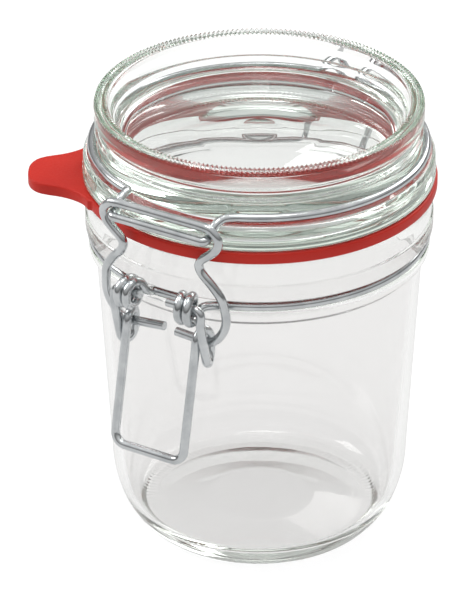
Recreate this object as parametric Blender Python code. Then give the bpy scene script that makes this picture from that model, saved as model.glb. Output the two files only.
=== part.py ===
"""Clip top jar: a clear glass jar, a glass lid on a rubber ring, and a steel wire clip.

Metres, +Z up, and the clip faces -Y. The origin is at the bottom middle of the box round the
whole jar, tab and clip included; the glass is turned round an axis that stands JAR_AXIS from it.
Lengths below are millimetres; U runs along +X and N outward towards the clip, from that axis.
"""
import math

import bpy
from mathutils import Matrix, Vector

MM = 0.001

# Where the jar's own axis stands in the frame
JAR_AXIS = Vector((0.003525, 0.000925, 0.0))

# Jar, outside
RIM_TOP = 98.7
NECK_LINE = 92.0
NECK_UPPER_RADIUS = 45.3
NECK_RADIUS = 45.8
NECK_BOTTOM = 88.0
GROOVE_TOP = 87.1
GROOVE_BOTTOM = 84.1
GROOVE_RADIUS = 42.5
BEAD_RADIUS = 45.0
BEAD_TOP = 83.5
BEAD_BOTTOM = 82.2
BODY_TOP = 80.0
BODY_TOP_RADIUS = 43.1
HEEL_TOP = 20.9
HEEL_RADIUS = 39.8
HEEL_REACH = 15.4
HEEL_DROP = 23.35
BASE_RING_RADIUS = 31.2
BASE_RISE = 1.6

# Jar, inside
MOUTH_RADIUS = 38.2
WALL = 3.3
FLOOR_THICKNESS = 4.2
INNER_HEEL_REACH = 5.5
INNER_HEEL_RISE = 14.0

# Rubber ring
RUBBER_BOTTOM = 99.0
RUBBER_TOP = 102.1
RUBBER_RADIUS = 46.65
RUBBER_INNER = 36.5
RUBBER_EDGE = 0.6
TAB_TURN = 211.1
TAB_TIP = 60.5

# Lid
LID_BOTTOM = 102.4
LID_TOP = 122.9
FLANGE_RADIUS = 46.2
FLANGE_LINE = 104.5
FLANGE_TOP = 108.9
LID_GROOVE_RADIUS = 42.1
LID_GROOVE_BOTTOM = 109.5
LID_BEAD_RADIUS = 42.8
LID_BEAD_LEVEL = 114.6
LID_WAIST_RADIUS = 41.9
LID_RIM_RADIUS = 43.0
LID_RIM_BOTTOM = 118.1
LID_MOUTH_RADIUS = 39.3
PLATE_RADIUS = 38.5
PLATE_TOP = 114.0
UNDER_RADIUS = 37.4
UNDER_SLOPE = 0.1033
UNDER_TIP_RADIUS = 15.0

# Wire
WIRE_RADIUS = 1.2
LOWER_RING_RADIUS = 44.05
LOWER_RING_LEVEL = 85.6
LID_RING_RADIUS = 43.65
LID_RING_LEVEL = 110.7
COIL_N = 49.4
COIL_Z = 86.6
COIL_RADIUS = 3.4
COIL_INNER_U = 7.8
COIL_OUTER_U = 10.25

# Turning axes, all along U
LEVER_AXIS_N = 49.95
LEVER_AXIS_Z = 87.15
BAIL_AXIS_N = 45.75
BAIL_AXIS_Z = 76.2
HINGE_N = -50.8
HINGE_Z = 99.5

# Bridge and eyes of the lid's hinge
BRIDGE_HALF = 10.5
EYE_U = 6.0
EYE_RADIUS = 2.7

# Nose of the lid wire
NOSE_HALF = 14.0
NOSE_N = 49.8
NOSE_Z = 107.1

# Lever
STRAND_U = 12.95
LEG_U = 10.4
BAR_N = 55.4
BAR_Z = 44.6

# Fineness
TURN_STEPS = 54
RING_STEP = 8.0
COIL_STEP = 24.0
WIRE_SPACING = 1.9


def at(u, n, z):
    """A point given in millimetres along U, N and Z, as metres from the foot of the jar's axis."""
    return Vector((u, -n, z)) * MM


def clear_scene():
    """Remove every object that is in the file."""
    for item in list(bpy.data.objects):
        bpy.data.objects.remove(item, do_unlink=True)


def make_material(name, colour, roughness, metallic=0.0, transmission=0.0):
    """A plain Principled material."""
    made = bpy.data.materials.new(name)
    made.use_nodes = True
    shader = made.node_tree.nodes["Principled BSDF"]
    shader.inputs["Base Color"].default_value = (*colour, 1.0)
    shader.inputs["Roughness"].default_value = roughness
    shader.inputs["Metallic"].default_value = metallic
    shader.inputs["Transmission Weight"].default_value = transmission
    return made


def place(name, data, finish, origin):
    """Put an object in the scene with its material and its origin at a point from the jar's axis."""
    item = bpy.data.objects.new(name, data)
    data.materials.append(finish)
    data.transform(Matrix.Translation(-origin))
    item.location = origin + JAR_AXIS
    bpy.context.scene.collection.objects.link(item)
    return item


def mesh_from(name, verts, faces):
    """A smooth shaded mesh whose sharp corners stay sharp."""
    mesh = bpy.data.meshes.new(name)
    mesh.from_pydata([tuple(vert) for vert in verts], [], faces)
    mesh.update()
    mesh.shade_smooth()
    mesh.set_sharp_from_angle(angle=math.radians(38.0))
    return mesh


def arc(centre_r, centre_z, reach_r, reach_z, start, end, count):
    """Points along an ellipse's arc in the plane of radius and height."""
    points = []
    for index in range(count + 1):
        turn = math.radians(start + (end - start) * index / count)
        points.append((centre_r + reach_r * math.cos(turn), centre_z + reach_z * math.sin(turn)))
    return points


def turned(name, outside, inside):
    """A round shell: outside runs from the rim down to the axis, inside from the axis back up."""
    verts = []
    rings = []
    for radius, level in outside + inside:
        first = len(verts)
        if radius == 0.0:
            verts.append(Vector((0.0, 0.0, level)) * MM)
            rings.append([first] * TURN_STEPS)
            continue
        for step in range(TURN_STEPS):
            turn = 2.0 * math.pi * step / TURN_STEPS
            verts.append(Vector((radius * math.cos(turn), radius * math.sin(turn), level)) * MM)
        rings.append(list(range(first, first + TURN_STEPS)))
    faces = []
    for index, ring in enumerate(rings):
        if index == len(outside) - 1:
            continue
        after = rings[(index + 1) % len(rings)]
        for step in range(TURN_STEPS):
            beside = (step + 1) % TURN_STEPS
            corners = [ring[step], after[step], after[beside], ring[beside]]
            faces.append(list(dict.fromkeys(corners)))
    return mesh_from(name, verts, faces)


def rounded(points, radii, step=30.0):
    """A path through corner points, each corner rounded by its radius."""
    corners = [Vector(point) for point in points]
    path = [corners[0]]
    for index in range(1, len(corners) - 1):
        here = corners[index]
        back = (corners[index - 1] - here).normalized()
        ahead = (corners[index + 1] - here).normalized()
        bend = math.pi - back.angle(ahead)
        if radii[index] <= 0.0 or bend < 0.02:
            path.append(here)
            continue
        reach = radii[index] * math.tan(bend / 2.0)
        centre = here + (back + ahead).normalized() * radii[index] / math.cos(bend / 2.0)
        first = here + back * reach - centre
        last = here + ahead * reach - centre
        count = max(2, math.ceil(math.degrees(bend) / step))
        for part in range(count + 1):
            share = part / count
            spot = first * math.sin((1.0 - share) * bend) + last * math.sin(share * bend)
            path.append(centre + spot / math.sin(bend))
    path.append(corners[-1])
    return path


def smooth(points, spacing=WIRE_SPACING):
    """Points along a smooth curve through the given ones, about one in each spacing."""
    knots = [Vector(point) for point in points]
    ends = [knots[0] * 2.0 - knots[1]] + knots + [knots[-1] * 2.0 - knots[-2]]
    path = [knots[0]]
    for index in range(1, len(ends) - 2):
        before, start, end, after = ends[index - 1:index + 3]
        count = max(1, round((end - start).length / spacing))
        for part in range(1, count + 1):
            t = part / count
            turn_in = (2.0 * before - 5.0 * start + 4.0 * end - after) * t ** 2
            turn_out = (3.0 * start - before - 3.0 * end + after) * t ** 3
            path.append(0.5 * (2.0 * start + (end - before) * t + turn_in + turn_out))
    return path


def mirrored(path):
    """The same path on the clip's other side, run backwards."""
    return [Vector((-spot[0], spot[1], spot[2])) for spot in reversed(path)]


def ring_arc(radius, level, start, end):
    """Points along a level ring; angles run from the clip's outward direction towards +U."""
    count = max(1, round(abs(end - start) / RING_STEP))
    path = []
    for index in range(count + 1):
        turn = math.radians(start + (end - start) * index / count)
        path.append(Vector((radius * math.sin(turn), radius * math.cos(turn), level)))
    return path


def wire(name, path, finish, origin, closed=False):
    """A round wire along a path given in U, N and Z."""
    curve = bpy.data.curves.new(name, "CURVE")
    curve.dimensions = "3D"
    curve.bevel_depth = WIRE_RADIUS * MM
    curve.bevel_resolution = 2
    curve.use_fill_caps = not closed
    spline = curve.splines.new("POLY")
    spline.points.add(len(path) - 1)
    for point, spot in zip(spline.points, path):
        point.co = (*at(*spot), 1.0)
    spline.use_cyclic_u = closed
    spline.use_smooth = True
    return place(name, curve, finish, origin)


def make_jar(finish):
    """The jar: two beads at the neck with a groove between, a slight taper and a soft heel."""
    neck = [
        (NECK_UPPER_RADIUS - 0.9, RIM_TOP),
        (NECK_UPPER_RADIUS, RIM_TOP - 0.9),
        (NECK_UPPER_RADIUS, NECK_LINE + 0.4),
        (NECK_RADIUS, NECK_LINE),
        (NECK_RADIUS, NECK_BOTTOM + 0.3),
        (NECK_RADIUS - 1.2, GROOVE_TOP + 0.1),
        (GROOVE_RADIUS, GROOVE_TOP),
        (GROOVE_RADIUS, GROOVE_BOTTOM),
        (BEAD_RADIUS - 0.6, GROOVE_BOTTOM),
        (BEAD_RADIUS, BEAD_TOP),
        (BEAD_RADIUS, BEAD_BOTTOM),
        (BEAD_RADIUS - 0.8, BODY_TOP + 1.0),
        (BODY_TOP_RADIUS, BODY_TOP),
    ]
    heel = arc(HEEL_RADIUS - HEEL_REACH, HEEL_TOP, HEEL_REACH, HEEL_DROP, 0.0, -60.0, 6)
    base = [
        (BASE_RING_RADIUS, 0.0),
        (BASE_RING_RADIUS - 2.6, 0.0),
        (BASE_RING_RADIUS - 4.2, 0.7),
        (0.0, BASE_RISE),
    ]
    floor = BASE_RISE + FLOOR_THICKNESS
    foot = HEEL_RADIUS - WALL
    inner_heel = arc(foot - INNER_HEEL_REACH, floor + INNER_HEEL_RISE,
                     INNER_HEEL_REACH, INNER_HEEL_RISE, -90.0, 0.0, 5)
    inside = [(0.0, floor)] + inner_heel + [
        (BODY_TOP_RADIUS - WALL, BODY_TOP - 1.0),
        (BODY_TOP_RADIUS - WALL, GROOVE_BOTTOM),
        (MOUTH_RADIUS, NECK_LINE),
        (MOUTH_RADIUS, RIM_TOP - 0.8),
        (MOUTH_RADIUS + 0.8, RIM_TOP),
    ]
    mesh = turned("jar_glass", neck + heel + base, inside)
    return place("jar_glass", mesh, finish, Vector())


def under_level(radius):
    """The height of the lid's underside, a shallow cone with a rounded tip."""
    foot = LID_BOTTOM + 0.3
    if radius >= UNDER_TIP_RADIUS:
        return foot + UNDER_SLOPE * (UNDER_RADIUS - radius)
    tip = (UNDER_TIP_RADIUS ** 2 - radius ** 2) / (2.0 * UNDER_TIP_RADIUS)
    return foot + UNDER_SLOPE * (UNDER_RADIUS - UNDER_TIP_RADIUS + tip)


def make_lid(finish, hinge):
    """The lid: a wide flange, a groove for the wire, and a raised rim round a sunk plate."""
    outside = [
        (LID_MOUTH_RADIUS + 0.6, LID_TOP - 0.7),
        (LID_RIM_RADIUS - 1.7, LID_TOP - 0.5),
        (LID_RIM_RADIUS - 1.0, LID_TOP),
        (LID_RIM_RADIUS - 0.3, LID_TOP),
        (LID_RIM_RADIUS, LID_TOP - 0.6),
        (LID_RIM_RADIUS, LID_RIM_BOTTOM + 0.5),
        (LID_WAIST_RADIUS, LID_RIM_BOTTOM - 0.6),
        (LID_WAIST_RADIUS, LID_BEAD_LEVEL + 0.8),
        (LID_BEAD_RADIUS, LID_BEAD_LEVEL),
        (LID_GROOVE_RADIUS, LID_BEAD_LEVEL - 0.9),
        (LID_GROOVE_RADIUS, LID_GROOVE_BOTTOM),
        (LID_GROOVE_RADIUS + 0.6, FLANGE_TOP + 0.3),
        (FLANGE_RADIUS - 1.0, FLANGE_TOP),
        (FLANGE_RADIUS - 0.2, FLANGE_TOP - 0.9),
        (FLANGE_RADIUS - 0.2, FLANGE_LINE + 0.1),
        (FLANGE_RADIUS, FLANGE_LINE - 0.3),
        (FLANGE_RADIUS, LID_BOTTOM + 0.5),
        (FLANGE_RADIUS - 0.5, LID_BOTTOM),
        (UNDER_RADIUS + 0.6, LID_BOTTOM),
        (UNDER_RADIUS, under_level(UNDER_RADIUS)),
    ]
    for radius in (30.0, 22.0, 15.0, 8.0, 0.0):
        outside.append((radius, under_level(radius)))
    inside = [
        (0.0, PLATE_TOP),
        (PLATE_RADIUS - 3.6, PLATE_TOP),
        (PLATE_RADIUS - 2.0, PLATE_TOP + 0.7),
        (PLATE_RADIUS - 1.2, PLATE_TOP + 2.4),
        (LID_MOUTH_RADIUS - 0.1, LID_TOP - 1.5),
    ]
    mesh = turned("lid_glass", outside, inside)
    return place("lid_glass", mesh, finish, hinge)


def tab_outline():
    """Half of the pull tab, from its tip back to the ring: distance along and across it."""
    return [
        (TAB_TIP, 0.0), (TAB_TIP - 0.3, 3.4), (TAB_TIP - 1.6, 6.2), (TAB_TIP - 4.0, 8.0),
        (TAB_TIP - 8.2, 9.4), (TAB_TIP - 11.6, 11.2), (TAB_TIP - 14.6, 13.9),
    ]


def rubber_stations():
    """Angles round the rubber ring in degrees, each with the ring's outer radius there."""
    half = []
    for along, across in tab_outline():
        half.append((math.degrees(math.atan2(across, along)), math.hypot(along, across)))
    stations = [(-turn, radius) for turn, radius in reversed(half[1:])] + half
    first = half[-1][0]
    count = TURN_STEPS - 6
    for step in range(1, count):
        stations.append((first + (360.0 - 2.0 * first) * step / count, RUBBER_RADIUS))
    return stations


def make_rubber(finish, hinge):
    """The flat rubber ring between the jar and the lid, with a rounded pull tab."""
    verts = []
    stations = rubber_stations()
    for turn, outer in stations:
        spot = math.radians(turn + TAB_TURN)
        profile = [
            (RUBBER_INNER, RUBBER_TOP), (outer - RUBBER_EDGE, RUBBER_TOP),
            (outer, RUBBER_TOP - RUBBER_EDGE), (outer, RUBBER_BOTTOM + RUBBER_EDGE),
            (outer - RUBBER_EDGE, RUBBER_BOTTOM), (RUBBER_INNER, RUBBER_BOTTOM),
        ]
        for radius, level in profile:
            verts.append(Vector((radius * math.cos(spot), radius * math.sin(spot), level)) * MM)
    faces = []
    sides = 6
    for index in range(len(stations)):
        here = index * sides
        after = ((index + 1) % len(stations)) * sides
        for side in range(sides):
            following = (side + 1) % sides
            faces.append([here + side, here + following, after + following, after + side])
    mesh = mesh_from("rubber_ring", verts, faces)
    return place("rubber_ring", mesh, finish, hinge)


def coil_u(turn):
    """How far out along U the coil is, at an angle counted from its top."""
    marks = [(0.0, COIL_INNER_U - 0.8), (60.0, COIL_INNER_U - 0.05), (240.0, COIL_INNER_U),
             (360.0, COIL_OUTER_U - 0.75), (420.0, COIL_OUTER_U), (600.0, COIL_OUTER_U)]
    for (start, low), (end, high) in zip(marks[:-1], marks[1:]):
        if turn <= end:
            return low + (high - low) * (turn - start) / (end - start)
    return COIL_OUTER_U


def coil_half():
    """Half of the lower wire's front: from the middle out, twice round the coil, to the groove."""
    level = LOWER_RING_LEVEL
    climb = smooth([
        (0.0, LOWER_RING_RADIUS, level), (4.8, LOWER_RING_RADIUS + 0.05, level), (5.4, 45.0, level + 0.1),
        (5.75, 46.1, level + 0.8), (6.05, 47.0, 87.8), (6.45, 48.0, 89.35),
        (coil_u(0.0), COIL_N, COIL_Z + COIL_RADIUS),
    ])
    coil = []
    count = round(600.0 / COIL_STEP)
    for index in range(1, count + 1):
        turn = COIL_STEP * index
        spot = math.radians(turn)
        coil.append(Vector((coil_u(turn), COIL_N + COIL_RADIUS * math.sin(spot),
                            COIL_Z + COIL_RADIUS * math.cos(spot))))
    away = smooth([coil[-1], (10.9, 45.5, 85.8), (12.2, 44.0, 85.85), (14.2, 42.2, level)])
    return climb + coil + away[1:]


def make_lower_ring(finish):
    """The lower wire: closed round the groove, with two coils in front and a bridge behind."""
    front = coil_half()
    back = rounded([
        (0.0, HINGE_N, HINGE_Z), (BRIDGE_HALF, HINGE_N, HINGE_Z),
        (BRIDGE_HALF, HINGE_N, LOWER_RING_LEVEL), (BRIDGE_HALF, -43.0, LOWER_RING_LEVEL),
        (13.6, -41.9, LOWER_RING_LEVEL),
    ], [0.0, 2.4, 3.0, 2.2, 0.0])
    side = ring_arc(LOWER_RING_RADIUS, LOWER_RING_LEVEL, 157.0, 22.0)
    half = back[:-1] + side + list(reversed(front))
    path = half + mirrored(half)[1:-1]
    return wire("lower_ring", path, finish, Vector(), closed=True)


def hinge_end():
    """One end of the lid wire: the eye round the bridge, up and over to the lid's groove."""
    eye = []
    for index in range(9):
        spot = math.radians(60.0 - 30.0 * index)
        eye.append(Vector((EYE_U, HINGE_N + EYE_RADIUS * math.cos(spot), HINGE_Z + EYE_RADIUS * math.sin(spot))))
    over = rounded([
        tuple(eye[-1]), (EYE_U, HINGE_N - EYE_RADIUS, LID_RING_LEVEL), (EYE_U, -43.3, LID_RING_LEVEL),
        (9.0, -42.7, LID_RING_LEVEL),
    ], [0.0, 4.0, 2.0, 0.0])
    return eye + over[1:-1]


def make_lid_wire(finish, hinge):
    """The upper wire: an eye on the bridge, round the lid, the nose in front and the other eye."""
    end = hinge_end()
    right = ring_arc(LID_RING_RADIUS, LID_RING_LEVEL, 168.0, 24.0)
    right += smooth([right[-1], (15.6, 41.6, LID_RING_LEVEL), (14.8, 43.3, LID_RING_LEVEL - 0.05),
                     (NOSE_HALF + 0.3, 44.9, 110.0), (NOSE_HALF, 46.1, 108.8),
                     (NOSE_HALF, 47.3, NOSE_Z + 0.5)])[1:]
    left = ring_arc(LID_RING_RADIUS, LID_RING_LEVEL, 192.0, 340.5)
    left += smooth([left[-1], (-14.0, 41.7, LID_RING_LEVEL), (-13.75, 43.3, LID_RING_LEVEL - 0.05),
                    (-NOSE_HALF + 0.1, 44.9, 110.0), (-NOSE_HALF, 46.1, 108.8),
                    (-NOSE_HALF, 47.3, NOSE_Z + 0.5)])[1:]
    nose = rounded([tuple(right[-1]), (NOSE_HALF, NOSE_N, NOSE_Z), (-NOSE_HALF, NOSE_N, NOSE_Z),
                    tuple(left[-1])], [0.0, 2.2, 2.2, 0.0])
    path = end + right + nose[1:-1] + list(reversed(left)) + mirrored(end)
    return wire("lid_wire", path, finish, hinge)


def make_bail(finish, axis):
    """The bail: a bar across the nose's arms, waisted legs, and pins that carry the lever's eyes."""
    half = smooth([
        (0.0, 48.4, 110.5), (13.0, 48.4, 110.5), (15.3, 48.35, 109.8), (16.7, 48.25, 108.4),
        (17.1, 48.1, 106.8), (16.3, 48.1, 104.8), (14.3, 48.1, 102.8), (12.2, 48.15, 101.0),
        (11.3, 48.15, 99.3), (12.0, 48.05, 97.2), (13.7, 47.9, 95.4), (15.6, 47.5, 93.1),
        (17.2, 47.0, 90.4), (17.8, 46.5, 87.3), (18.0, 46.1, 84.0), (17.3, 45.9, 81.1),
        (15.9, BAIL_AXIS_N, 78.7), (14.3, BAIL_AXIS_N, 77.0), (12.6, BAIL_AXIS_N, BAIL_AXIS_Z),
        (9.8, BAIL_AXIS_N, BAIL_AXIS_Z),
    ], 2.6)
    right = half + [Vector((2.85, BAIL_AXIS_N, BAIL_AXIS_Z + 0.4))]
    left = [Vector((-0.7, BAIL_AXIS_N, BAIL_AXIS_Z + 0.9))] + mirrored(half[1:])
    return wire("bail", left + right, finish, axis)


def lever_half(tip):
    """Half of the lever, from the pivot pin's tip to the middle of the bottom bar."""
    pivot = rounded([
        (tip, LEVER_AXIS_N, LEVER_AXIS_Z), (STRAND_U, LEVER_AXIS_N, LEVER_AXIS_Z),
        (STRAND_U, 50.4, 83.4),
    ], [0.0, 2.0, 0.0])
    eye = smooth([
        (STRAND_U, 50.4, 83.4), (STRAND_U, 49.35, 78.6), (STRAND_U, 48.0, 73.3), (12.8, 47.3, 71.2),
        (12.4, 45.7, 69.95), (11.8, 44.1, 70.7), (11.5, 43.1, 72.8), (11.4, 43.0, 76.2),
        (11.2, 43.5, 77.8), (10.9, 44.6, 78.8), (10.7, 45.75, 79.1), (10.5, 47.0, 78.8),
        (LEG_U, 48.1, 77.7), (LEG_U, 48.5, 76.2), (LEG_U, 48.85, 74.2),
    ])
    leg = rounded([
        (LEG_U, 48.85, 74.2), (LEG_U, BAR_N, BAR_Z), (0.0, BAR_N, BAR_Z),
    ], [0.0, 3.2, 0.0])
    return pivot[:-1] + eye + leg[1:]


def make_lever(finish, axis):
    """The lever that tightens the clip: one wire with an eye on each side and a bar to pull."""
    right = lever_half(2.9)
    left = mirrored(lever_half(5.1))
    return wire("lever", right + left[1:], finish, axis)


def main():
    """Build the jar."""
    clear_scene()
    jar_glass = make_material("clear_jar_glass", (0.87, 0.91, 0.87), 0.03, transmission=1.0)
    lid_glass = make_material("clear_lid_glass", (0.83, 0.91, 0.85), 0.03, transmission=1.0)
    rubber = make_material("red_rubber", (0.42, 0.03, 0.012), 0.45)
    ring_steel = make_material("ring_steel", (0.62, 0.63, 0.64), 0.2, metallic=1.0)
    lid_steel = make_material("lid_wire_steel", (0.62, 0.63, 0.64), 0.2, metallic=1.0)
    bail_steel = make_material("bail_steel", (0.62, 0.63, 0.64), 0.2, metallic=1.0)
    lever_steel = make_material("lever_steel", (0.62, 0.63, 0.64), 0.2, metallic=1.0)
    hinge = at(0.0, HINGE_N, HINGE_Z)
    make_jar(jar_glass)
    make_lower_ring(ring_steel)
    make_lid(lid_glass, hinge)
    make_rubber(rubber, hinge)
    make_lid_wire(lid_steel, hinge)
    make_lever(lever_steel, at(0.0, LEVER_AXIS_N, LEVER_AXIS_Z))
    make_bail(bail_steel, at(0.0, BAIL_AXIS_N, BAIL_AXIS_Z))


main()
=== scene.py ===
"""Looks of the clip top jar: clear glass, red rubber and bright steel wire on a pale floor."""
import logging
import math
from dataclasses import dataclass
from enum import Enum
from typing import Callable

import bmesh
import bpy
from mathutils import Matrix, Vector


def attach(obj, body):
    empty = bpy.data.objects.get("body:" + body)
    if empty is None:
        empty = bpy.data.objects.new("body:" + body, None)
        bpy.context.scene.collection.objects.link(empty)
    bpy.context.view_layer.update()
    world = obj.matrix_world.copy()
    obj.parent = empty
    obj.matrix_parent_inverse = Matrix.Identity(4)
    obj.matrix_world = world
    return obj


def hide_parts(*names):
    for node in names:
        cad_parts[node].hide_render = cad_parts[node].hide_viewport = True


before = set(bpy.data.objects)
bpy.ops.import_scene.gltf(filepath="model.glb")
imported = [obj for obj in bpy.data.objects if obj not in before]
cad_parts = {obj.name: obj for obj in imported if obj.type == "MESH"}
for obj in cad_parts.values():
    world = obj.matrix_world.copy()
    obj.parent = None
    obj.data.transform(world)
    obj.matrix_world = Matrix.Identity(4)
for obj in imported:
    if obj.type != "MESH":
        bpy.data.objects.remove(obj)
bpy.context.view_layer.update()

LOG = logging.getLogger("clip_top_jar")
MM = 0.001
FULL_TURN = 2.0 * math.pi
JAR_AXIS = Vector((0.003525, 0.000925, 0.0))
LIGHT_AIM = Vector((0.0, 0.0, 0.06))
MERGE_DISTANCE = 1e-6
GLASS_IOR = 1.5

Outline = list[tuple[float, float]]
Triple = tuple[float, float, float]
Path = list[Vector]
Node = bpy.types.Node
Socket = bpy.types.NodeSocket


class Surface(Enum):
    """The finishes that the jar's pieces take."""

    JAR_GLASS = "jar_glass"
    LID_GLASS = "lid_glass"
    RUBBER = "rubber_ring"
    STEEL = "steel"


# Modelling by hand


def clear_selection() -> None:
    """Leave edit mode and deselect every object."""
    if bpy.context.object is not None and bpy.context.object.mode != "OBJECT":
        bpy.ops.object.mode_set(mode="OBJECT")
    bpy.ops.object.select_all(action="DESELECT")


def open_mesh(item: bpy.types.Object) -> bmesh.types.BMesh:
    """Put one object in edit mode with nothing selected.

    Args:
        item: the object to edit.

    Returns:
        Its edit mesh.
    """
    clear_selection()
    bpy.context.view_layer.objects.active = item
    item.select_set(True)
    bpy.ops.object.mode_set(mode="EDIT")
    bpy.ops.mesh.select_all(action="DESELECT")
    return bmesh.from_edit_mesh(item.data)


def select_verts(item: bpy.types.Object, test: Callable[[Vector], bool]) -> None:
    """Select the vertices and the edges between them that pass a test of their place.

    Args:
        item: the object in edit mode.
        test: takes a place in metres and says whether it counts.
    """
    mesh = bmesh.from_edit_mesh(item.data)
    for vert in mesh.verts:
        if test(vert.co):
            vert.select_set(True)
    mesh.select_flush(True)
    bmesh.update_edit_mesh(item.data)


def first_ring(name: str, spot: tuple[float, float], steps: int) -> bpy.types.Object:
    """Add a circle for an outline's first point, and leave it selected in edit mode.

    Args:
        name: the piece's name.
        spot: the circle's radius and height in millimetres.
        steps: how many vertices it has.

    Returns:
        The new object.
    """
    clear_selection()
    radius, level = spot
    bpy.ops.mesh.primitive_circle_add(
        vertices=steps, radius=radius * MM, location=(0.0, 0.0, level * MM), fill_type="NOTHING")
    item = bpy.context.object
    item.name = name
    bpy.ops.object.transform_apply(location=True)
    bpy.ops.object.mode_set(mode="EDIT")
    bpy.ops.mesh.select_all(action="SELECT")
    return item


def face_outward(merge: bool) -> None:
    """Turn all faces of the mesh in edit mode outward, and leave edit mode.

    Args:
        merge: whether doubled vertices are merged first.
    """
    bpy.ops.mesh.select_all(action="SELECT")
    if merge:
        bpy.ops.mesh.remove_doubles(threshold=MERGE_DISTANCE)
    bpy.ops.mesh.normals_make_consistent(inside=False)
    bpy.ops.object.mode_set(mode="OBJECT")


def draw_ring(outline: Outline) -> None:
    """Extrude the selected ring through the points of an outline, and close it on the axis.

    Args:
        outline: radius and height in millimetres; the first point is the selected ring.
    """
    radius, level = outline[0]
    for after_radius, after_level in outline[1:]:
        lift = (0.0, 0.0, (after_level - level) * MM)
        bpy.ops.mesh.extrude_region_move(TRANSFORM_OT_translate={"value": lift})
        if after_radius == 0.0:
            bpy.ops.mesh.merge(type="CENTER")
            return
        share = after_radius / radius
        if abs(share - 1.0) > 1e-9:
            middle = (0.0, 0.0, after_level * MM)
            bpy.ops.transform.resize(value=(share, share, 1.0), center_override=middle)
        radius, level = after_radius, after_level


def turn_shell(name: str, outside: Outline, inside: Outline, steps: int) -> bpy.types.Object:
    """Turn a closed shell from a rim ring: down the outside to the axis, then down the inside.

    Args:
        name: the piece's name.
        outside: from the rim to the axis, in millimetres.
        inside: from the same rim point to the axis.
        steps: how many vertices each ring has.

    Returns:
        The finished piece.
    """
    radius, level = outside[0]
    item = first_ring(name, outside[0], steps)
    draw_ring(outside)
    bpy.ops.mesh.select_all(action="DESELECT")

    def on_rim(spot: Vector) -> bool:
        """Whether a place is on the rim ring."""
        near = abs(math.hypot(spot.x, spot.y) - radius * MM) < MERGE_DISTANCE
        return near and abs(spot.z - level * MM) < MERGE_DISTANCE

    select_verts(item, on_rim)
    draw_ring(inside)
    face_outward(False)
    return item


def turn_band(name: str, outline: Outline, steps: int) -> bpy.types.Object:
    """Turn a closed ring of any section.

    Args:
        name: the piece's name.
        outline: the section's corners in order; it closes by itself.
        steps: how many vertices each ring has.

    Returns:
        The finished piece.
    """
    item = first_ring(name, outline[0], steps)
    draw_ring(outline + [outline[0]])
    face_outward(True)
    return item


def smooth_shading(item: bpy.types.Object, angle: float) -> None:
    """Shade a piece smooth, and keep its sharper corners.

    Args:
        item: the piece.
        angle: the least angle of a corner that stays sharp, in degrees.
    """
    clear_selection()
    bpy.context.view_layer.objects.active = item
    item.select_set(True)
    bpy.ops.object.shade_smooth_by_angle(angle=math.radians(angle))


def softened(corners: list[Triple], step: float = 15.0) -> Outline:
    """Round the corners of an outline.

    Args:
        corners: radius, height and rounding radius of each corner, in millimetres.
        step: the largest turn between two points of a rounding, in degrees.

    Returns:
        The outline with its corners rounded.
    """
    places = [Vector((radius, level, 0.0)) for radius, level, _ in corners]
    path = rounded(places, [size for _, _, size in corners], step)
    return [(spot.x, spot.y) for spot in path]


def rounded(points: list[Vector], radii: list[float], step: float = 8.0) -> Path:
    """A path through corner points, each corner rounded by its radius where there is room.

    Args:
        points: the corners.
        radii: the rounding radius at each corner, or nought for none.
        step: the largest turn between two points, in degrees.

    Returns:
        The rounded path.
    """
    path = [points[0]]
    for index in range(1, len(points) - 1):
        here = points[index]
        back = points[index - 1] - here
        ahead = points[index + 1] - here
        bend = math.pi - back.angle(ahead)
        if radii[index] <= 0.0 or bend < 0.01:
            path.append(here)
            continue
        reach = min(radii[index] * math.tan(bend / 2.0), 0.49 * back.length, 0.49 * ahead.length)
        radius = reach / math.tan(bend / 2.0)
        back.normalize()
        ahead.normalize()
        centre = here + (back + ahead).normalized() * radius / math.cos(bend / 2.0)
        first = here + back * reach - centre
        last = here + ahead * reach - centre
        count = max(2, math.ceil(math.degrees(bend) / step))
        for part in range(count + 1):
            share = part / count
            spot = first * math.sin((1.0 - share) * bend) + last * math.sin(share * bend)
            path.append(centre + spot / math.sin(bend))
    path.append(points[-1])
    return path


def smooth(points: list[Triple], spacing: float = 0.8) -> Path:
    """Points along a smooth curve through the given ones.

    Args:
        points: places in U, N and Z, in millimetres.
        spacing: about how far apart the new points are.

    Returns:
        The path.
    """
    knots = [Vector(point) for point in points]
    ends = [knots[0] * 2.0 - knots[1]] + knots + [knots[-1] * 2.0 - knots[-2]]
    path = [knots[0]]
    for index in range(1, len(ends) - 2):
        before, start, end, after = ends[index - 1:index + 3]
        count = max(1, round((end - start).length / spacing))
        for part in range(1, count + 1):
            t = part / count
            turn_in = (2.0 * before - 5.0 * start + 4.0 * end - after) * t ** 2
            turn_out = (3.0 * start - before - 3.0 * end + after) * t ** 3
            path.append(0.5 * (2.0 * start + (end - before) * t + turn_in + turn_out))
    return path


def mirrored(path: Path) -> Path:
    """The same path on the clip's other side, run backwards."""
    return [Vector((-spot[0], spot[1], spot[2])) for spot in reversed(path)]


def ring_arc(radius: float, level: float, start: float, end: float, step: float = 2.0) -> Path:
    """Points along a level ring.

    Args:
        radius: the ring's radius.
        level: its height.
        start: the first angle, from the clip's outward direction towards +U, in degrees.
        end: the last angle.
        step: the largest angle between two points.

    Returns:
        The path.
    """
    count = max(1, round(abs(end - start) / step))
    path = []
    for index in range(count + 1):
        turn = math.radians(start + (end - start) * index / count)
        path.append(Vector((radius * math.sin(turn), radius * math.cos(turn), level)))
    return path


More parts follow.
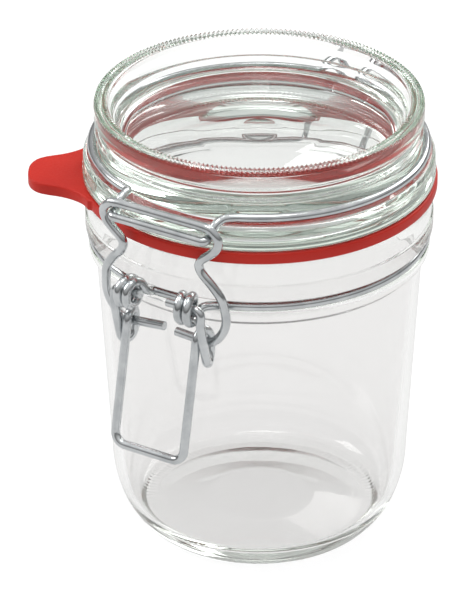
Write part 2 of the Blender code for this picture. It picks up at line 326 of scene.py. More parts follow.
@dataclass
class Wire:
    """Round drawn wire, swept along a path and cut square with a slightly broken edge."""

    radius: float = 1.2
    resolution: int = 6
    end_break: float = 0.22

    def sweep(self, name: str, path: Path, closed: bool) -> bpy.types.Object:
        """Make the wire's mesh.

        Args:
            name: the piece's name.
            path: the middle line, in U, N and Z.
            closed: whether its ends join.

        Returns:
            The wire.
        """
        clear_selection()
        bpy.ops.curve.primitive_nurbs_path_add(location=(0.0, 0.0, 0.0))
        item = bpy.context.object
        item.name = name
        curve = item.data
        curve.splines.clear()
        line = curve.splines.new("POLY")
        line.points.add(len(path) - 1)
        for point, (u, n, z) in zip(line.points, path):
            point.co = (u * MM, -n * MM, z * MM, 1.0)
        line.use_cyclic_u = closed
        curve.bevel_depth = self.radius * MM
        curve.bevel_resolution = self.resolution
        curve.use_fill_caps = not closed
        bpy.ops.object.convert(target="MESH")
        item = bpy.context.object
        if not closed:
            self.break_ends(item)
        bpy.ops.object.mode_set(mode="EDIT")
        face_outward(True)
        smooth_shading(item, 50.0)
        return item

    def break_ends(self, item: bpy.types.Object) -> None:
        """Bevel the edges of the cut ends.

        Args:
            item: the wire's mesh, with one many-sided face at each end.
        """
        mesh = open_mesh(item)
        bpy.ops.mesh.select_mode(type="FACE")
        for face in mesh.faces:
            face.select_set(len(face.verts) > 4)
        bmesh.update_edit_mesh(item.data)
        bpy.ops.mesh.region_to_loop()
        bpy.ops.mesh.bevel(offset=self.end_break * MM, segments=3)
        bpy.ops.object.mode_set(mode="OBJECT")


# Finishes


def link(tree: bpy.types.NodeTree, source: Socket, target: Socket) -> None:
    """Join two sockets."""
    tree.links.new(source, target)


def grain_group() -> bpy.types.NodeTree:
    """A shared effect: soft speckle on the object's own coordinates.

    Returns:
        The group, with inputs Scale, Detail, Low and High, and outputs Value and Height.
    """
    group = bpy.data.node_groups.new("soft_speckle", "ShaderNodeTree")
    face = group.interface
    for name, value in (("Scale", 200.0), ("Detail", 3.0), ("Low", 0.0), ("High", 1.0)):
        socket = face.new_socket(name=name, in_out="INPUT", socket_type="NodeSocketFloat")
        socket.default_value = value
    for name in ("Value", "Height"):
        face.new_socket(name=name, in_out="OUTPUT", socket_type="NodeSocketFloat")
    come = group.nodes.new("NodeGroupInput")
    leave = group.nodes.new("NodeGroupOutput")
    place = group.nodes.new("ShaderNodeTexCoord")
    speckle = group.nodes.new("ShaderNodeTexNoise")
    spread = group.nodes.new("ShaderNodeMapRange")
    link(group, place.outputs["Object"], speckle.inputs["Vector"])
    link(group, come.outputs["Scale"], speckle.inputs["Scale"])
    link(group, come.outputs["Detail"], speckle.inputs["Detail"])
    link(group, speckle.outputs["Fac"], spread.inputs["Value"])
    spread.inputs["From Min"].default_value = 0.3
    spread.inputs["From Max"].default_value = 0.7
    link(group, come.outputs["Low"], spread.inputs["To Min"])
    link(group, come.outputs["High"], spread.inputs["To Max"])
    link(group, spread.outputs["Result"], leave.inputs["Value"])
    link(group, speckle.outputs["Fac"], leave.inputs["Height"])
    return group


def add_grain(
    tree: bpy.types.NodeTree, group: bpy.types.NodeTree, scale: float, low: float, high: float,
) -> Node:
    """Place the speckle group in a material with its own values.

    Args:
        tree: the material's tree.
        group: the speckle group.
        scale: how fine the speckle is.
        low: the least value that it gives.
        high: the greatest value that it gives.

    Returns:
        The group's node.
    """
    node = tree.nodes.new("ShaderNodeGroup")
    node.node_tree = group
    for name, value in (("Scale", scale), ("Low", low), ("High", high)):
        node.inputs[name].default_value = value
    return node


def start_material(name: str) -> tuple[bpy.types.Material, bpy.types.NodeTree, Node]:
    """Make a material.

    Args:
        name: its name.

    Returns:
        The material, its tree and its Principled shader.
    """
    made = bpy.data.materials.new(name)
    made.use_nodes = True
    tree = made.node_tree
    return made, tree, tree.nodes["Principled BSDF"]


def add_bump(
    tree: bpy.types.NodeTree, shader: Node, height: Socket, strength: float, depth: float,
) -> None:
    """Feed a height into the shader's normal.

    Args:
        tree: the material's tree.
        shader: its Principled shader.
        height: the height, from nought to one.
        strength: how much of the bump shows.
        depth: how deep a height of one is, in metres.
    """
    bump = tree.nodes.new("ShaderNodeBump")
    bump.inputs["Strength"].default_value = strength
    bump.inputs["Distance"].default_value = depth
    link(tree, height, bump.inputs["Height"])
    link(tree, bump.outputs["Normal"], shader.inputs["Normal"])


def add_two_tones(
    tree: bpy.types.NodeTree, shader: Node, mask: Socket, dark: Triple, light: Triple,
) -> None:
    """Blend the shader's base colour between two tones.

    Args:
        tree: the material's tree.
        shader: its Principled shader.
        mask: how much of the lighter tone shows.
        dark: the darker tone.
        light: the lighter tone.
    """
    blend = tree.nodes.new("ShaderNodeMix")
    blend.data_type = "RGBA"
    blend.inputs["A"].default_value = (*dark, 1.0)
    blend.inputs["B"].default_value = (*light, 1.0)
    link(tree, mask, blend.inputs["Factor"])
    link(tree, blend.outputs["Result"], shader.inputs["Base Color"])


@dataclass(frozen=True)
class GlassFinish:
    """Pressed clear glass: faintly green through its thickness, very slightly wavy."""

    name: str
    tint: Triple
    absorption: Triple
    density: float
    wave_depth: float
    wave_scale: float = 35.0
    wave_strength: float = 0.25
    haze: float = 0.012

    def build(self, group: bpy.types.NodeTree) -> bpy.types.Material:
        """Make the material.

        Args:
            group: the speckle group.

        Returns:
            The glass.
        """
        made, tree, shader = start_material(self.name)
        shader.inputs["Base Color"].default_value = (*self.tint, 1.0)
        shader.inputs["Transmission Weight"].default_value = 1.0
        shader.inputs["IOR"].default_value = GLASS_IOR
        grain = add_grain(tree, group, self.wave_scale, 0.0, self.haze)
        link(tree, grain.outputs["Value"], shader.inputs["Roughness"])
        add_bump(tree, shader, grain.outputs["Height"], self.wave_strength, self.wave_depth)
        soak = tree.nodes.new("ShaderNodeVolumeAbsorption")
        soak.inputs["Color"].default_value = (*self.absorption, 1.0)
        soak.inputs["Density"].default_value = self.density
        link(tree, soak.outputs["Volume"], tree.nodes["Material Output"].inputs["Volume"])
        return made


@dataclass(frozen=True)
class RubberFinish:
    """Red rubber: satin, with a fine moulded grain and a trace of bloom."""

    name: str
    dark: Triple
    light: Triple
    bloom_scale: float = 60.0
    grain_scale: float = 1400.0
    grain_strength: float = 0.3
    grain_depth: float = 0.00006
    roughness: tuple[float, float] = (0.42, 0.55)
    specular: float = 0.25

    def build(self, group: bpy.types.NodeTree) -> bpy.types.Material:
        """Make the material.

        Args:
            group: the speckle group.

        Returns:
            The rubber.
        """
        made, tree, shader = start_material(self.name)
        bloom = add_grain(tree, group, self.bloom_scale, 0.0, 1.0)
        add_two_tones(tree, shader, bloom.outputs["Value"], self.dark, self.light)
        grain = add_grain(tree, group, self.grain_scale, *self.roughness)
        link(tree, grain.outputs["Value"], shader.inputs["Roughness"])
        shader.inputs["Specular IOR Level"].default_value = self.specular
        add_bump(tree, shader, grain.outputs["Height"], self.grain_strength, self.grain_depth)
        return made


@dataclass(frozen=True)
class SteelFinish:
    """Bright drawn steel wire: nearly polished, with faint dull patches."""

    name: str
    dark: Triple
    light: Triple
    patch_scale: float = 160.0
    grain_scale: float = 900.0
    grain_strength: float = 0.12
    grain_depth: float = 0.00004
    roughness: tuple[float, float] = (0.12, 0.26)

    def build(self, group: bpy.types.NodeTree) -> bpy.types.Material:
        """Make the material.

        Args:
            group: the speckle group.

        Returns:
            The steel.
        """
        made, tree, shader = start_material(self.name)
        shader.inputs["Metallic"].default_value = 1.0
        patch = add_grain(tree, group, self.patch_scale, 0.0, 1.0)
        add_two_tones(tree, shader, patch.outputs["Value"], self.dark, self.light)
        grain = add_grain(tree, group, self.grain_scale, *self.roughness)
        link(tree, grain.outputs["Value"], shader.inputs["Roughness"])
        add_bump(tree, shader, grain.outputs["Height"], self.grain_strength, self.grain_depth)
        return made


class Finishes:
    """Every finish of the jar, built once."""

    def __init__(self) -> None:
        """Build the materials."""
        group = grain_group()
        jar_glass = GlassFinish("clear_jar_glass", (0.872, 0.865, 0.864), (0.46, 0.62, 0.44), 5.0, 0.0004)
        lid_glass = GlassFinish("clear_lid_glass", (0.95, 0.955, 0.95), (0.42, 0.64, 0.46), 6.0, 0.0003)
        rubber = RubberFinish("red_rubber", (0.46, 0.014, 0.007), (0.54, 0.022, 0.011))
        steel = SteelFinish("bright_steel", (0.50, 0.52, 0.53), (0.68, 0.70, 0.71))
        self.made = {
            Surface.JAR_GLASS: jar_glass.build(group),
            Surface.LID_GLASS: lid_glass.build(group),
            Surface.RUBBER: rubber.build(group),
            Surface.STEEL: steel.build(group),
        }

    def dress(self, item: bpy.types.Object, surface: Surface) -> None:
        """Give a piece its finish."""
        item.data.materials.clear()
        item.data.materials.append(self.made[surface])


def fit_piece(item: bpy.types.Object, body: str, node: str) -> None:
    """Move a piece's mesh to the jar's axis, and let it ride on its body for its CAD node.

    Args:
        item: the piece, modelled round the frame's origin.
        body: the moving body that carries it.
        node: the CAD node that it stands for.
    """
    open_mesh(item)
    bpy.ops.mesh.select_all(action="SELECT")
    bpy.ops.transform.translate(value=JAR_AXIS)
    clear_selection()
    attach(item, body)
    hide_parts(node)
    LOG.info("%s: %d faces on %s", item.name, len(item.data.polygons), body)


# Sub-assemblies


@dataclass
class Jar:
    """The glass jar: grooved neck, slightly tapering body, soft heel and raised base."""

    steps: int = 480
    rim_top: float = 98.7
    upper_radius: float = 45.3
    neck_radius: float = 45.8
    groove_radius: float = 42.5
    bead_radius: float = 45.0
    body_radius: float = 43.1
    body_top: float = 80.0
    heel_radius: float = 39.8
    heel_top: float = 20.9
    heel_reach: float = 15.4
    heel_drop: float = 23.35
    wall: float = 3.3
    mouth_radius: float = 38.2
    base_rise: float = 1.6
    floor_thickness: float = 4.2
    inner_reach: float = 5.5
    inner_rise: float = 14.0
    ridges: int = 120
    ridge_height: float = 0.1
    ridge_inner: float = 29.0
    ridge_outer: float = 32.4
    ridge_level: float = 0.9

    def outside(self) -> Outline:
        """Draw the outer side, from the rim's crown down to the middle of the base.

        Returns:
            Radius and height of its points.
        """
        crown = self.mouth_radius + 3.4
        neck = softened([
            (crown, self.rim_top, 0.0), (self.upper_radius, self.rim_top, 1.2),
            (self.upper_radius, 92.4, 0.2), (self.neck_radius, 92.0, 0.4),
            (self.neck_radius, 87.5, 0.9), (43.6, 87.1, 0.5), (self.groove_radius, 87.1, 0.5),
            (self.groove_radius, 84.1, 0.5), (44.2, 84.1, 0.5), (self.bead_radius, 83.5, 0.7),
            (self.bead_radius, 81.6, 1.4), (self.body_radius, 80.0, 1.6),
            (self.heel_radius, self.heel_top, 0.0),
        ], 18.0)
        heel = []
        for index in range(1, 25):
            turn = math.radians(62.0 * index / 24)
            heel.append((self.heel_radius - self.heel_reach * (1.0 - math.cos(turn)),
                         self.heel_top - self.heel_drop * math.sin(turn)))
        heel = [(radius, max(level, 0.25)) for radius, level in heel]
        base = softened([
            (31.4, 0.1, 0.0), (30.9, 0.0, 0.4), (28.0, 0.0, 3.0), (14.0, self.base_rise, 30.0),
            (0.0, self.base_rise, 0.0),
        ], 1.5)
        return neck + [spot for spot in heel if spot[0] > 31.6] + base

    def inside(self) -> Outline:
        """Draw the inner side, from the rim's crown down to the middle of the floor.

        Returns:
            Radius and height of its points.
        """
        floor = self.base_rise + self.floor_thickness
        foot = self.heel_radius - self.wall
        mouth = softened([
            (self.mouth_radius + 3.4, self.rim_top, 0.0), (self.mouth_radius, self.rim_top, 1.2),
            (self.mouth_radius, 92.0, 6.0), (self.body_radius - self.wall, 84.0, 6.0),
            (self.body_radius - self.wall, self.body_top - 1.0, 3.0), (foot, floor + self.inner_rise, 0.0),
        ], 18.0)
        heel = []
        for index in range(1, 21):
            turn = math.radians(90.0 * index / 20)
            heel.append((foot - self.inner_reach * (1.0 - math.cos(turn)),
                         floor + self.inner_rise * (1.0 - math.sin(turn))))
        return mouth + heel + [(20.0, floor), (0.0, floor)]

    def build(self, finishes: Finishes) -> None:
        """Model the jar, press the ridges into its bearing ring and dress it.

        Args:
            finishes: the jar's finishes.
        """
        item = turn_shell("jar_shell", self.outside(), self.inside(), self.steps)
        for vert in item.data.vertices:
            radius = math.hypot(vert.co.x, vert.co.y) / MM
            if vert.co.z < self.ridge_level * MM and self.ridge_inner < radius < self.ridge_outer:
                turn = math.atan2(vert.co.y, vert.co.x)
                vert.co.z += self.ridge_height * MM * 0.5 * (1.0 + math.cos(self.ridges * turn))
        smooth_shading(item, 60.0)
        finishes.dress(item, Surface.JAR_GLASS)
        fit_piece(item, "jar", "jar_glass")


@dataclass
class Lid:
    """The glass lid: wide flange, wire groove, and a beaded rim round a sunk plate."""

    beads: int = 208
    steps_per_bead: int = 4
    bottom: float = 102.4
    top: float = 122.9
    flange_radius: float = 46.2
    flange_top: float = 108.9
    groove_radius: float = 42.1
    rim_radius: float = 43.0
    mouth_radius: float = 39.3
    plate_radius: float = 36.2
    plate_top: float = 114.0
    under_radius: float = 37.4
    under_slope: float = 0.1033
    under_tip: float = 15.0
    crown_drop: float = 0.3
    bead_height: float = 0.6
    bead_sink: float = 0.12
    bead_inner: float = 39.7
    bead_outer: float = 42.95
    bead_rows: float = 41.5
    bead_band: float = 0.4

    def outside(self) -> Outline:
        """Draw the outer side, from the rim's crown down and under the plate to its middle.

        Returns:
            Radius and height of its points.
        """
        crown = self.top - self.crown_drop
        rim = [(41.2, crown)]
        rim += softened([
            (41.2, crown, 0.0), (41.7, crown + 0.1, 0.0), (42.2, crown + 0.1, 0.0), (42.7, crown, 0.0),
            (self.rim_radius, crown - 0.6, 0.6), (self.rim_radius, 118.6, 1.0), (41.9, 117.6, 0.8),
            (41.9, 115.4, 0.4), (42.8, 115.0, 0.3), (42.8, 114.3, 0.3), (self.groove_radius, 113.8, 0.5),
            (self.groove_radius, 109.4, 0.5), (45.2, self.flange_top + 0.1, 1.2), (46.0, 107.9, 1.0),
            (46.0, 104.6, 0.15), (self.flange_radius, 104.3, 0.15), (self.flange_radius, self.bottom, 0.5),
            (38.0, self.bottom, 0.4), (self.under_radius, self.under(self.under_radius), 0.3),
        ], 18.0)[1:]
        count = 24
        for index in range(1, count + 1):
            radius = self.under_radius * (1.0 - index / count)
            rim.append((radius, self.under(radius)))
        return rim

    def under(self, radius: float) -> float:
        """Give the height of the plate's underside, a shallow cone with a rounded tip.

        Args:
            radius: how far from the axis, in millimetres.

        Returns:
            The height in millimetres.
        """
        foot = self.bottom + 0.3
        if radius >= self.under_tip:
            return foot + self.under_slope * (self.under_radius - radius)
        tip = (self.under_tip ** 2 - radius ** 2) / (2.0 * self.under_tip)
        return foot + self.under_slope * (self.under_radius - self.under_tip + tip)

    def inside(self) -> Outline:
        """Draw the dish, from the rim's crown down and to the middle of the plate.

        Returns:
            Radius and height of its points.
        """
        crown = self.top - self.crown_drop
        wall = softened([
            (41.2, crown, 0.0), (40.7, crown, 0.0), (40.2, crown, 0.0), (self.mouth_radius, crown, 0.9),
            (self.plate_radius, self.plate_top, 3.0), (30.0, self.plate_top, 0.0),
        ], 12.0)
        plate = [(24.0, self.plate_top)]
        for radius, drop in ((17.6, 0.0), (16.9, 0.03), (16.2, 0.0), (6.6, 0.0), (5.9, 0.03), (5.2, 0.0)):
            plate.append((radius, self.plate_top + drop))
        return wall + plate + [(0.0, self.plate_top)]

    def build(self, finishes: Finishes) -> None:
        """Model the lid, raise the beads on its rim and dress it.

        Args:
            finishes: the jar's finishes.
        """
        steps = self.beads * self.steps_per_bead
        item = turn_shell("lid_shell", self.outside(), self.inside(), steps)
        lowest = (self.top - self.crown_drop - self.bead_band) * MM
        for vert in item.data.vertices:
            radius = math.hypot(vert.co.x, vert.co.y) / MM
            if vert.co.z > lowest and self.bead_inner < radius < self.bead_outer:
                turn = math.atan2(vert.co.y, vert.co.x)
                row = 0.5 if radius > self.bead_rows else 0.0
                lift = 0.5 * (1.0 + math.cos(self.beads * turn + row * FULL_TURN))
                vert.co.z += (self.bead_height * lift - self.bead_sink) * MM
        smooth_shading(item, 60.0)
        finishes.dress(item, Surface.LID_GLASS)
        fit_piece(item, "lid", "lid_glass")


@dataclass
class RubberRing:
    """The flat rubber ring between jar and lid, with its rounded pull tab."""

    steps: int = 360
    bottom: float = 99.0
    top: float = 102.1
    inner: float = 36.5
    outer: float = 46.65
    edge_width: float = 2.5
    edge_rounding: float = 0.55
    tab_turn: float = 211.1
    tab_tip: float = 60.5

    def tab_edge(self) -> list[tuple[float, float]]:
        """Draw half of the tab's edge, from the tip back to the ring.

        Returns:
            Angle from the tab's middle in degrees, and radius.
        """
        tip = self.tab_tip
        knots = [
            (tip, -3.4, 0.0), (tip, 0.0, 0.0), (tip - 0.3, 3.4, 0.0), (tip - 1.6, 6.2, 0.0),
            (tip - 4.0, 8.0, 0.0), (tip - 8.2, 9.4, 0.0), (tip - 11.6, 11.2, 0.0),
            (tip - 14.6, 13.9, 0.0), (tip - 16.2, 17.0, 0.0),
        ]
        edge = [(math.degrees(math.atan2(spot.y, spot.x)), math.hypot(spot.x, spot.y))
                for spot in smooth(knots, 0.5) if spot.y > 0.1]
        return [(0.0, tip)] + edge

    def reach(self, turn: float, edge: list[tuple[float, float]]) -> float:
        """Give the outer radius at an angle from the tab's middle.

        Args:
            turn: the angle in degrees, either way.
            edge: the tab's edge.

        Returns:
            The radius in millimetres.
        """
        turn = abs((turn + 180.0) % 360.0 - 180.0)
        for (low, near), (high, far) in zip(edge[:-1], edge[1:]):
            if low <= turn <= high:
                share = (turn - low) / max(high - low, 1e-9)
                return max(self.outer, near + (far - near) * share)
        return self.outer

    def build(self, finishes: Finishes) -> None:
        """Model the ring, draw out its tab and dress it.

        Args:
            finishes: the jar's finishes.
        """
        flat = self.outer - self.edge_width
        section = softened([
            (self.inner, self.bottom, 0.0), (flat, self.bottom, 0.0),
            (self.outer, self.bottom, self.edge_rounding), (self.outer, self.top, self.edge_rounding),
            (flat, self.top, 0.0), (self.inner, self.top, 0.0),
        ], 30.0)
        item = turn_band("rubber_band", section, self.steps)
        edge = self.tab_edge()
        for vert in item.data.vertices:
            radius = math.hypot(vert.co.x, vert.co.y)
            if radius > (flat + self.edge_rounding) * MM:
                turn = math.degrees(math.atan2(vert.co.y, vert.co.x)) - self.tab_turn
                grow = self.reach(turn, edge) - self.outer
                share = 1.0 + grow * MM / radius
                vert.co.x *= share
                vert.co.y *= share
        smooth_shading(item, 40.0)
        finishes.dress(item, Surface.RUBBER)
        fit_piece(item, "lid", "rubber_ring")


@dataclass
class Clip:
    """The steel wires: lower ring with coils and bridge, lid wire, bail and lever."""

    lower_radius: float = 44.05
    lower_level: float = 85.6
    lid_radius: float = 43.65
    lid_level: float = 110.7
    coil_n: float = 49.4
    coil_z: float = 86.6
    coil_radius: float = 3.4
    coil_inner: float = 7.8
    coil_outer: float = 10.25
    hinge_n: float = -50.8
    hinge_z: float = 99.5
    bridge_half: float = 10.5
    eye_u: float = 6.0
    eye_radius: float = 2.7
    nose_half: float = 14.0
    nose_n: float = 49.8
    nose_z: float = 107.1
    bail_n: float = 45.75
    bail_z: float = 76.2
    lever_n: float = 49.95
    lever_z: float = 87.15
    strand_u: float = 12.95
    leg_u: float = 10.4
    bar_n: float = 55.4
    bar_z: float = 44.6

    def coil_u(self, turn: float) -> float:
        """Give how far out along U the coil is.

        Args:
            turn: the angle counted from the coil's top, in degrees.

        Returns:
            The place along U in millimetres.
        """
        marks = [(0.0, self.coil_inner - 0.8), (60.0, self.coil_inner - 0.05), (240.0, self.coil_inner),
                 (360.0, self.coil_outer - 0.75), (420.0, self.coil_outer), (600.0, self.coil_outer)]
        for (start, low), (end, high) in zip(marks[:-1], marks[1:]):
            if turn <= end:
                return low + (high - low) * (turn - start) / (end - start)
        return self.coil_outer

    def coil_half(self) -> Path:
        """Draw half of the lower wire's front, from the middle out and round the coil.

        Returns:
            The path, which ends in the neck's groove.
        """
        level = self.lower_level
        climb = smooth([
            (0.0, self.lower_radius, level), (4.8, self.lower_radius + 0.05, level),
            (5.4, 45.0, level + 0.1), (5.75, 46.1, level + 0.8), (6.05, 47.0, 87.8), (6.45, 48.0, 89.35),
            (self.coil_u(0.0), self.coil_n, self.coil_z + self.coil_radius),
        ])
        coil = []
        for index in range(1, 76):
            turn = 8.0 * index
            spot = math.radians(turn)
            coil.append(Vector((self.coil_u(turn), self.coil_n + self.coil_radius * math.sin(spot),
                                self.coil_z + self.coil_radius * math.cos(spot))))
        away = smooth([tuple(coil[-1]), (10.9, 45.5, 85.8), (12.2, 44.0, 85.85), (14.2, 42.2, level)])
        return climb + coil + away[1:]

    def lower_ring(self) -> Path:
        """Draw the closed lower wire: groove, coils in front and the hinge's bridge behind.

        Returns:
            The path.
        """
        back = rounded([
            Vector((0.0, self.hinge_n, self.hinge_z)), Vector((self.bridge_half, self.hinge_n, self.hinge_z)),
            Vector((self.bridge_half, self.hinge_n, self.lower_level)),
            Vector((self.bridge_half, -43.0, self.lower_level)), Vector((13.6, -41.9, self.lower_level)),
        ], [0.0, 2.4, 3.0, 2.2, 0.0])
        side = ring_arc(self.lower_radius, self.lower_level, 157.0, 22.0)
        half = back[:-1] + side + list(reversed(self.coil_half()))
        return half + mirrored(half)[1:-1]

    def hinge_end(self) -> Path:
        """Draw one end of the lid wire: the eye round the bridge, then up and over to the lid.

        Returns:
            The path.
        """
        eye = []
        for index in range(25):
            spot = math.radians(60.0 - 10.0 * index)
            eye.append(Vector((self.eye_u, self.hinge_n + self.eye_radius * math.cos(spot),
                               self.hinge_z + self.eye_radius * math.sin(spot))))
        over = rounded([
            eye[-1], Vector((self.eye_u, self.hinge_n - self.eye_radius, self.lid_level)),
            Vector((self.eye_u, -43.3, self.lid_level)), Vector((9.0, -42.7, self.lid_level)),
        ], [0.0, 4.0, 2.0, 0.0])
        return eye + over[1:-1]

    def nose_arm(self, lead: Path, corner: Triple, side: float, shift: float) -> Path:
        """Draw one arm of the nose, from the lid's groove over the flange and down to the bar.

        Args:
            lead: the wire's path in the groove.
            corner: where it leaves the groove.
            side: 1 for the arm at +U, -1 for the other.
            shift: how far the arm swings out, in millimetres.

        Returns:
            The path with the arm.
        """
        half = self.nose_half
        return lead + smooth([
            tuple(lead[-1]), corner, (side * (half + 0.8 * shift), 43.3, self.lid_level - 0.05),
            (side * (half + 0.3 * shift), 44.9, 110.0), (side * half, 46.1, 108.8),
            (side * half, 47.3, self.nose_z + 0.5),
        ])[1:]

    def lid_wire(self) -> Path:
        """Draw the lid wire: an eye, round the lid, the nose in front and the other eye.

        Returns:
            The path.
        """
        end = self.hinge_end()
        right = self.nose_arm(ring_arc(self.lid_radius, self.lid_level, 168.0, 24.0),
                              (15.6, 41.6, self.lid_level), 1.0, 1.0)
        left = self.nose_arm(ring_arc(self.lid_radius, self.lid_level, 192.0, 340.5),
                             (-14.0, 41.7, self.lid_level), -1.0, -0.3)
        nose = rounded([
            right[-1], Vector((self.nose_half, self.nose_n, self.nose_z)),
            Vector((-self.nose_half, self.nose_n, self.nose_z)), left[-1],
        ], [0.0, 2.2, 2.2, 0.0])
        return end + right + nose[1:-1] + list(reversed(left)) + mirrored(end)

    def bail(self) -> Path:
        """Draw the bail: a bar over the nose's arms, waisted legs and pins at their ends.

        Returns:
            The path.
        """
        n, z = self.bail_n, self.bail_z
        half = smooth([
            (0.0, 48.4, 110.5), (13.0, 48.4, 110.5), (15.3, 48.35, 109.8), (16.7, 48.25, 108.4),
            (17.1, 48.1, 106.8), (16.3, 48.1, 104.8), (14.3, 48.1, 102.8), (12.2, 48.15, 101.0),
            (11.3, 48.15, 99.3), (12.0, 48.05, 97.2), (13.7, 47.9, 95.4), (15.6, 47.5, 93.1),
            (17.2, 47.0, 90.4), (17.8, 46.5, 87.3), (18.0, 46.1, 84.0), (17.3, 45.9, 81.1),
            (15.9, n, 78.7), (14.3, n, 77.0), (12.6, n, z), (9.8, n, z),
        ])
        right = half + [Vector((2.85, n, z + 0.4))]
        return [Vector((-0.7, n, z + 0.9))] + mirrored(half[1:]) + right

    def lever_half(self, tip: float) -> Path:
        """Draw half of the lever, from the pivot pin's tip to the middle of the bottom bar.

        Args:
            tip: how far out along U the pin's tip is.

        Returns:
            The path.
        """
        strand, leg = self.strand_u, self.leg_u
        pivot = rounded([
            Vector((tip, self.lever_n, self.lever_z)), Vector((strand, self.lever_n, self.lever_z)),
            Vector((strand, 50.4, 83.4)),
        ], [0.0, 2.0, 0.0])
        eye = smooth([
            (strand, 50.4, 83.4), (strand, 49.35, 78.6), (strand, 48.0, 73.3), (12.8, 47.3, 71.2),
            (12.4, 45.7, 69.95), (11.8, 44.1, 70.7), (11.5, 43.1, 72.8), (11.4, 43.0, 76.2),
            (11.2, 43.5, 77.8), (10.9, 44.6, 78.8), (10.7, 45.75, 79.1), (10.5, 47.0, 78.8),
            (leg, 48.1, 77.7), (leg, 48.5, 76.2), (leg, 48.85, 74.2),
        ])
        lower = rounded([
            Vector((leg, 48.85, 74.2)), Vector((leg, self.bar_n, self.bar_z)),
            Vector((0.0, self.bar_n, self.bar_z)),
        ], [0.0, 3.2, 0.0])
        return pivot[:-1] + eye + lower[1:]

    def lever(self) -> Path:
        """Draw the whole lever."""
        return self.lever_half(2.9) + mirrored(self.lever_half(5.1))[1:]

    def build(self, finishes: Finishes) -> None:
        """Sweep the wires and dress them.

        Args:
            finishes: the jar's finishes.
        """
        wire = Wire()
        for name, path, closed, body, node in (
            ("ring_wire", self.lower_ring(), True, "jar", "lower_ring"),
            ("lid_wire_round", self.lid_wire(), False, "lid", "lid_wire"),
            ("bail_wire", self.bail(), False, "bail", "bail"),
            ("lever_wire", self.lever(), False, "lever", "lever"),
        ):
            item = wire.sweep(name, path, closed)
            finishes.dress(item, Surface.STEEL)
            fit_piece(item, body, node)


@dataclass(frozen=True)
class SoftBox:
    """A square soft light that faces the jar."""

    name: str
    spot: Triple
    size: float
    power: float

    def hang(self) -> None:
        """Add the light and turn it towards the jar."""
        clear_selection()
        bpy.ops.object.light_add(type="AREA", location=self.spot)
        lamp = bpy.context.object
        lamp.name = self.name
        lamp.data.size = self.size
        lamp.data.energy = self.power
        aim = LIGHT_AIM - Vector(self.spot)
        lamp.rotation_euler = aim.to_track_quat("-Z", "Y").to_euler()


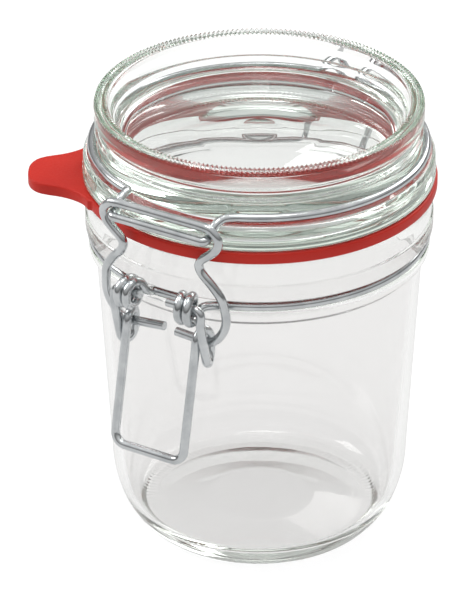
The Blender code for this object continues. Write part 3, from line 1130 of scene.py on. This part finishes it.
@dataclass
class Studio:
    """A pale floor, soft lights and the camera at the photograph's angle."""

    floor_size: float = 8.0
    floor_level: float = -0.0003
    floor_tone: float = 0.15
    floor_roughness: float = 0.9
    floor_glow: float = 0.93
    floor_mirror_glow: float = 0.6
    sky_low: float = 0.16
    sky_high: float = 0.85
    fade_start: float = 0.1
    fade_end: float = 0.8
    bounces: int = 64
    camera_spot: Triple = (0.4816, -0.7983, 0.5775)
    camera_tilt: float = 61.12
    camera_turn: float = 31.1
    camera_lens: float = 240.0
    camera_sensor: float = 36.0
    camera_shift: float = -0.0382

    def build(self) -> None:
        """Lay the floor, hang the lights and place the camera."""
        self.lay_floor()
        self.fill_sky()
        SoftBox("left_box", (-0.9, -0.3, 0.7), 0.5, 5.0).hang()
        SoftBox("back_box", (0.1, 1.0, 0.9), 0.8, 8.0).hang()
        SoftBox("top_box", (0.0, -0.1, 1.3), 0.5, 4.0).hang()
        self.place_camera()
        scene = bpy.context.scene
        scene.view_settings.view_transform = "Standard"
        scene.cycles.max_bounces = self.bounces
        scene.cycles.transmission_bounces = self.bounces
        scene.cycles.glossy_bounces = self.bounces

    def lay_floor(self) -> None:
        """Lay a plain pale floor just below the jar, which glows less in reflections."""
        clear_selection()
        bpy.ops.mesh.primitive_plane_add(size=self.floor_size, location=(0.0, 0.0, self.floor_level))
        floor = bpy.context.object
        floor.name = "floor"
        made, tree, shader = start_material("pale_floor")
        tone = self.floor_tone
        shader.inputs["Base Color"].default_value = (tone, tone, tone, 1.0)
        shader.inputs["Roughness"].default_value = self.floor_roughness
        shader.inputs["Specular IOR Level"].default_value = 0.0
        shader.inputs["Emission Color"].default_value = (1.0, 1.0, 1.0, 1.0)
        path = tree.nodes.new("ShaderNodeLightPath")
        mirrored_only = tree.nodes.new("ShaderNodeMath")
        mirrored_only.operation = "SUBTRACT"
        mirrored_only.use_clamp = True
        glow = tree.nodes.new("ShaderNodeMapRange")
        glow.inputs["To Min"].default_value = self.floor_glow
        glow.inputs["To Max"].default_value = self.floor_mirror_glow
        link(tree, path.outputs["Is Glossy Ray"], mirrored_only.inputs[0])
        link(tree, path.outputs["Is Transmission Ray"], mirrored_only.inputs[1])
        link(tree, mirrored_only.outputs["Value"], glow.inputs["Value"])
        link(tree, glow.outputs["Result"], shader.inputs["Emission Strength"])
        floor.data.materials.append(made)

    def fill_sky(self) -> None:
        """Fill the sky with soft light that falls off towards the horizon."""
        world = bpy.data.worlds.new("studio")
        bpy.context.scene.world = world
        world.use_nodes = True
        tree = world.node_tree
        place = tree.nodes.new("ShaderNodeTexCoord")
        split = tree.nodes.new("ShaderNodeSeparateXYZ")
        fade = tree.nodes.new("ShaderNodeMapRange")
        link(tree, place.outputs["Generated"], split.inputs["Vector"])
        link(tree, split.outputs["Z"], fade.inputs["Value"])
        fade.inputs["From Min"].default_value = self.fade_start
        fade.inputs["From Max"].default_value = self.fade_end
        fade.inputs["To Min"].default_value = self.sky_low
        fade.inputs["To Max"].default_value = self.sky_high
        sky = tree.nodes["Background"]
        sky.inputs["Color"].default_value = (1.0, 1.0, 1.0, 1.0)
        link(tree, fade.outputs["Result"], sky.inputs["Strength"])

    def place_camera(self) -> None:
        """Place the camera as fitted to the photograph."""
        clear_selection()
        bpy.ops.object.camera_add(location=Vector(self.camera_spot) + JAR_AXIS)
        camera = bpy.context.object
        camera.name = "camera"
        camera.rotation_euler = (math.radians(self.camera_tilt), 0.0, math.radians(self.camera_turn))
        camera.data.lens = self.camera_lens
        camera.data.sensor_width = self.camera_sensor
        camera.data.shift_x = self.camera_shift
        camera.data.clip_start = 0.01
        camera.data.clip_end = 50.0
        bpy.context.scene.camera = camera


def main() -> None:
    """Build every piece, the floor, the lights and the camera."""
    logging.basicConfig(level=logging.INFO, format="%(name)s %(message)s")
    finishes = Finishes()
    Jar().build(finishes)
    Lid().build(finishes)
    RubberRing().build(finishes)
    Clip().build(finishes)
    Studio().build()
    clear_selection()
    bpy.context.view_layer.update()


if __name__ == "__main__":
    main()
